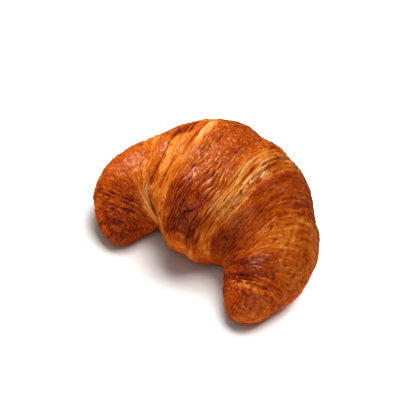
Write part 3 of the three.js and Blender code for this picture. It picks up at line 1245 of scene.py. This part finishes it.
@dataclass
class Crust:
    """The croissant's whole outside, one closed mesh."""

    roll: Roll
    detail: CrustDetail
    finish: EggWashedCrust
    shift: Vector
    rings: int = 498
    round_points: int = 200
    top_samples: int = 8001
    angle_samples: int = 3601
    crowding: float = 0.6
    crowded: float = 7.0
    before_foot: float = 3.0
    end_power: int = 8
    under_density: float = 0.08
    under_fade: Span = (0.35, 0.75)

    def ring_tops(self) -> Values:
        """Where the rings pass the top of the roll, closer together at the edges and the ends."""
        even = np.linspace(-1, 1, self.top_samples)
        share = even * (self.end_power + 1 - even**self.end_power) / self.end_power
        tops = np.where(share < 0, share * self.roll.left.length, share * self.roll.right.length)
        feet = [self.before_foot - edge.foot[1] for edge in self.roll.left.edges]
        feet += [edge.foot[1] - self.before_foot for edge in self.roll.right.edges]
        near = sum(np.exp(-(((tops - at) / self.crowded) ** 2)) for at in feet)
        density = 1 + self.crowding * near
        count = summed(halfway(density))
        wanted = np.arange(1, self.rings + 1) / (self.rings + 1) * count[-1]
        return np.interp(wanted, count, tops)

    def ring_angles(self) -> Values:
        """Angles of a ring's points, far apart on the flat underside."""
        fine = np.linspace(0, 360, self.angle_samples)
        under = eased(-np.sin(np.radians(fine)), *self.under_fade)
        density = 1 - (1 - self.under_density) * under
        count = summed(halfway(density))
        return np.interp(np.arange(self.round_points) / self.round_points * count[-1], count, fine)

    def build(self) -> bpy.types.Object:
        """Makes the crust's mesh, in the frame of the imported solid."""
        top, angle = np.meshgrid(self.ring_tops(), self.ring_angles(), indexing="ij")
        spots = self.detail.spots(top, angle)
        relief = self.detail.relief(spots)
        place = self.roll.ring_place(top, angle)
        grid = self.roll.crust_point(place, angle, relief.height).reshape(-1, 3)
        ends = np.array([-self.roll.left.length, self.roll.right.length])
        tips = self.roll.crust_point(ends, np.zeros(2))
        points = np.concatenate([grid, tips]) + np.array(self.shift)
        piece = new_mesh("crust", points, self.ring_faces())

        radius, turn = self.detail.radius(top), np.radians(angle)
        rolled = np.stack([spots.across, radius * np.cos(turn), radius * np.sin(turn)], -1)
        middles = np.stack([ends, np.zeros(2), np.zeros(2)], -1)
        set_values(piece, "rolled", np.concatenate([rolled.reshape(-1, 3), middles]))
        bake = self.detail.bake(spots, relief)
        set_values(piece, "bake", np.append(bake, [bake[0].mean(), bake[-1].mean()]))
        set_values(piece, "glaze", np.append(self.detail.glaze(spots, relief), [1.0, 1.0]))
        set_values(piece, "creased", np.append(relief.creased, [0.0, 0.0]))
        set_values(piece, "bubbly", np.append(relief.bubbly, [0.0, 0.0]))
        return piece

    def ring_faces(self) -> list[tuple[int, ...]]:
        """Faces between the rings, and round the point that closes each horn."""
        around = self.round_points
        ring = np.arange(around)
        beyond = np.roll(ring, -1)
        first = (np.arange(self.rings - 1) * around)[:, None]
        second = first + around
        quads = np.stack([first + ring, first + beyond, second + beyond, second + ring], -1)
        left_tip = self.rings * around
        right_tip, last = left_tip + 1, left_tip - around
        pairs = list(zip(ring.tolist(), beyond.tolist()))
        faces = [tuple(quad) for quad in quads.reshape(-1, 4).tolist()]
        faces += [(left_tip, b, a) for a, b in pairs]
        faces += [(right_tip, last + a, last + b) for a, b in pairs]
        return faces

    def dress(self, piece: bpy.types.Object) -> None:
        """Gives the crust its finish and its place in the frame."""
        piece.data.materials.append(self.finish.material())
        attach(piece, "root")
        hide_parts("croissant")


@dataclass(frozen=True)
class FlakePlace:
    """A stretch of crust where shards have come loose."""

    tops: Span
    angles: Span
    count: int
    longest: float = 2.4


@dataclass
class LooseFlakes:
    """Shards of baked leaf that stand up from the lips of the layers, each a closed thin sheet."""

    roll: Roll
    detail: CrustDetail
    shift: Vector
    seed: int = 23
    thickness: float = 0.22
    buried: float = 0.35
    steps: int = 4
    lengths: Span = (0.45, 1.0)
    bakes: Span = (0.35, 0.66)
    glaze: float = 0.5
    lifts: Span = (12, 48)
    curls: Span = (-0.5, 0.6)
    widths: Span = (0.7, 1.7)
    skews: Span = (-0.5, 0.5)
    taper: float = 0.55
    ragged_sides: float = 0.14
    ragged_end: float = 0.22
    thinned: float = 0.5
    small_turn: float = 1.0
    small_step: float = 0.5
    pattern_step: float = 7.0
    places: tuple[FlakePlace, ...] = (
        FlakePlace((22, 29), (40, 135), 26),
        FlakePlace((25, 29), (8, 40), 7, 3.0),
        FlakePlace((46, 50), (12, 24), 8, 4.4),
        FlakePlace((44, 49), (30, 110), 8),
        FlakePlace((-30, -26), (45, 150), 18),
        FlakePlace((-22, -14), (108, 165), 9),
        FlakePlace((-42, -38), (30, 75), 8, 3.0),
        FlakePlace((-66, -57), (15, 130), 9, 1.8),
        FlakePlace((75, 79), (45, 125), 10),
    )

    def build(self) -> bpy.types.Object:
        """Makes all the shards as one mesh of closed sheets."""
        draw = np.random.default_rng(self.seed)
        kinds = [place for place in self.places for _ in range(place.count)]
        top = np.array([draw.uniform(*kind.tops) for kind in kinds])
        angle = np.array([draw.uniform(*kind.angles) for kind in kinds])
        length = np.array([kind.longest * draw.uniform(*self.lengths) for kind in kinds])
        spots = self.detail.spots(top, angle)
        height = self.detail.relief(spots).height
        place, side = self.roll.ring_place(top, angle), np.sign(top)
        turned = angle + self.small_turn
        base = self.roll.crust_point(place, angle, height)
        beside = self.roll.crust_point(self.roll.ring_place(top, turned), turned, height)
        outward = self.roll.crust_point(place + self.small_step * side, angle, height)
        along = self._unit(beside - base)
        out = self._unit(outward - base)
        up = self._unit(np.cross(along, out) * -side[:, None])
        points, faces, rolled, bake = [], [], [], []
        for i in range(len(top)):
            sheet = self._sheet(draw, base[i], along[i], out[i], up[i], length[i])
            first = sum(len(done) for done in points)
            points.append(sheet)
            faces += [tuple(first + corner for corner in face) for face in self._sheet_faces()]
            place = [top[i], spots.along[i], self.pattern_step * i]
            rolled.append(np.tile(place, (len(sheet), 1)))
            bake.append(np.full(len(sheet), draw.uniform(*self.bakes)))
        piece = new_mesh("loose_flakes", np.concatenate(points) + np.array(self.shift), faces)
        set_values(piece, "rolled", np.concatenate(rolled))
        set_values(piece, "bake", np.concatenate(bake))
        set_values(piece, "glaze", np.full(len(piece.data.vertices), self.glaze))
        return piece

    @staticmethod
    def _unit(ways: Values) -> Values:
        """The same ways, each one unit long."""
        return ways / np.linalg.norm(ways, axis=-1, keepdims=True)

    def _sheet(
        self,
        draw: np.random.Generator,
        base: Values,
        along: Values,
        out: Values,
        up: Values,
        length: float,
    ) -> Values:
        """One shard's points: its upper face, row by row from its root, then its lower face.

        Args:
            draw: The source of chance.
            base: Where its root is.
            along: The way along the layer's lip.
            out: The way across the lip, on towards the horn.
            up: The way out of the crust.
            length: How far the shard reaches.

        Returns:
            The points, one to a row.
        """
        steps = self.steps
        lift = math.radians(draw.uniform(*self.lifts))
        curl = draw.uniform(*self.curls)
        width = length * draw.uniform(*self.widths)
        skew = draw.uniform(*self.skews)
        rows = []
        for row in np.linspace(0, 1, steps):
            turn = lift + curl * row
            gone = out * math.cos(turn) + up * math.sin(turn)
            across = np.linspace(-0.5, 0.5, steps)
            chance = self.ragged_sides * draw.standard_normal(steps)
            ragged = 1 - self.taper * row**2 + chance * row
            reach = length * row * (1 + self.ragged_end * draw.standard_normal(steps))
            middle = base - up * self.buried + along * skew * length * row
            rows.append(middle + along * (across * width * ragged)[:, None] + gone * reach[:, None])
        upper = np.concatenate(rows)
        thin = np.repeat(np.linspace(1.0, self.thinned, steps), steps)[:, None]
        return np.concatenate([upper, upper - up * self.thickness * thin])

    def _sheet_faces(self) -> list[tuple[int, ...]]:
        """The faces that close one shard all round."""
        steps, below = self.steps, self.steps**2
        cells = [(r * steps + c) for r in range(steps - 1) for c in range(steps - 1)]
        upper = [(k, k + 1, k + steps + 1, k + steps) for k in cells]
        lower = [
            (k + below, k + steps + below, k + steps + 1 + below, k + 1 + below) for k in cells
        ]
        last = steps * (steps - 1)
        rim = list(range(steps - 1))
        rim += [steps - 1 + row * steps for row in range(steps - 1)]
        rim += [last + column for column in range(steps - 1, 0, -1)]
        rim += [row * steps for row in range(steps - 1, 0, -1)]
        sides = [(b, a, a + below, b + below) for a, b in zip(rim, rim[1:] + rim[:1])]
        return upper + lower + sides

    def dress(self, piece: bpy.types.Object, material: bpy.types.Material) -> None:
        """Gives the shards the crust's finish and their place in the frame."""
        piece.data.materials.append(material)
        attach(piece, "root")
        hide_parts("croissant")


@dataclass(frozen=True)
class PaleFloor:
    """A plain pale surface under the croissant."""

    size: float = 3.0
    colour: str = "#F4F3F1"
    roughness: float = 0.9
    gloss: float = 0.0

    def build(self) -> bpy.types.Object:
        """Makes the floor, apart from the croissant."""
        half = self.size / 2 / MM
        corners = np.array([(-half, -half, 0), (half, -half, 0), (half, half, 0), (-half, half, 0)])
        floor = new_mesh("floor", corners, [(0, 1, 2, 3)])
        paint = bpy.data.materials.new("matt_pale_board")
        paint.use_nodes = True
        shader = paint.node_tree.nodes["Principled BSDF"]
        shader.inputs["Base Color"].default_value = linear_from_hex(self.colour)
        shader.inputs["Roughness"].default_value = self.roughness
        shader.inputs["Specular IOR Level"].default_value = self.gloss
        floor.data.materials.append(paint)
        floor.visible_glossy = False
        return floor


def direction(azimuth: float, elevation: float) -> Vector:
    """The way from the croissant to something at an azimuth and elevation, 0 at the front."""
    turn, up = math.radians(azimuth), math.radians(elevation)
    return Vector((math.sin(turn) * math.cos(up), -math.cos(turn) * math.cos(up), math.sin(up)))


class Lit(Enum):
    """What a light reaches."""

    CRUST = "lit_crust"
    FLOOR = "lit_floor"


@dataclass(frozen=True)
class SoftLight:
    """A square softbox that faces the croissant, with its size in metres and power in watts."""

    name: str
    azimuth: float
    elevation: float
    distance: float
    size: float
    power: float
    lit: Lit = Lit.CRUST

    def build(self, aim: Vector, reached: dict[Lit, bpy.types.Collection]) -> None:
        """Hangs the softbox.

        Args:
            aim: The point that it faces.
            reached: What each kind of light reaches.
        """
        light = bpy.data.lights.new(self.name, "AREA")
        light.size = self.size
        light.energy = self.power
        hung = bpy.data.objects.new(self.name, light)
        way = direction(self.azimuth, self.elevation)
        hung.location = aim + way * self.distance
        hung.rotation_euler = way.to_track_quat("Z", "Y").to_euler()
        hung.light_linking.receiver_collection = reached[self.lit]
        bpy.context.scene.collection.objects.link(hung)


@dataclass(frozen=True)
class Studio:
    """Soft studio light on the crust from all round, strongest from overhead on the left.

    The pale floor has lights of its own, so that it stays white round a soft shadow.
    """

    aim: Vector
    ambient: float = 0.035
    lights: tuple[SoftLight, ...] = (
        SoftLight("overhead_softbox", -108, 58, 0.8, 0.13, 5.9),
        SoftLight("left_window", -100, 26, 0.8, 0.5, 0.7),
        SoftLight("back_left_window", -148, 36, 0.8, 0.5, 0.8),
        SoftLight("back_right_softbox", 132, 38, 0.8, 0.3, 0.8),
        SoftLight("front_right_fill", 42, 32, 0.9, 0.5, 1.2),
        SoftLight("front_fill", 6, 20, 0.9, 0.4, 1.0),
        SoftLight("floor_light", 158, 62, 0.8, 0.8, 16.0, Lit.FLOOR),
        SoftLight("floor_fill", 10, 60, 0.9, 0.6, 1.2, Lit.FLOOR),
    )

    def build(self, crust: list[bpy.types.Object], floor: bpy.types.Object) -> None:
        """Hangs the lights and sets the colour of the surroundings."""
        reached = {lit: bpy.data.collections.new(lit.value) for lit in Lit}
        for piece in crust:
            reached[Lit.CRUST].objects.link(piece)
        reached[Lit.FLOOR].objects.link(floor)
        for light in self.lights:
            light.build(self.aim, reached)
        world = bpy.data.worlds.new("soft_surroundings")
        world.use_nodes = True
        back = world.node_tree.nodes["Background"]
        back.inputs["Color"].default_value = (1.0, 1.0, 1.0, 1.0)
        back.inputs["Strength"].default_value = self.ambient
        scene = bpy.context.scene
        scene.world = world
        scene.view_settings.view_transform = "Standard"
        scene.view_settings.look = "Medium High Contrast"


@dataclass(frozen=True)
class PhotographCamera:
    """A camera where the photograph's was, as fitted to the croissant's outline."""

    aim: Vector
    azimuth: float = 31
    elevation: float = 50
    distance: float = 0.689
    lens: float = 100
    sensor: float = 36

    def build(self) -> None:
        """Makes the camera and hands it to the scene."""
        made = bpy.data.cameras.new("photograph_camera")
        made.lens = self.lens
        made.sensor_width = self.sensor
        camera = bpy.data.objects.new("photograph_camera", made)
        way = direction(self.azimuth, self.elevation)
        camera.location = self.aim + way * self.distance
        camera.rotation_euler = way.to_track_quat("Z", "Y").to_euler()
        bpy.context.scene.collection.objects.link(camera)
        bpy.context.scene.camera = camera


def main() -> None:
    """Builds the croissant, its surroundings and the camera, and reports each piece."""
    logging.basicConfig(level=logging.INFO, format="%(name)s: %(message)s")
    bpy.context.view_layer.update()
    roll = Roll()
    shift = Vector(ROLL_TO_FRAME_MM)
    detail, finish = CrustDetail(roll), EggWashedCrust()
    crust = Crust(roll, detail, finish, shift)
    piece = crust.build()
    crust.dress(piece)
    flakes = LooseFlakes(roll, detail, shift)
    loose = flakes.build()
    flakes.dress(loose, piece.data.materials[0])
    for made in (piece, loose):
        mesh = made.data
        log.info("%s has %d points and %d faces", made.name, len(mesh.vertices), len(mesh.polygons))
    floor = PaleFloor().build()
    aim = Vector(AIM_MM) * MM
    Studio(aim).build([piece, loose], floor)
    PhotographCamera(aim).build()
    bpy.context.view_layer.update()


if __name__ == "__main__":
    main()
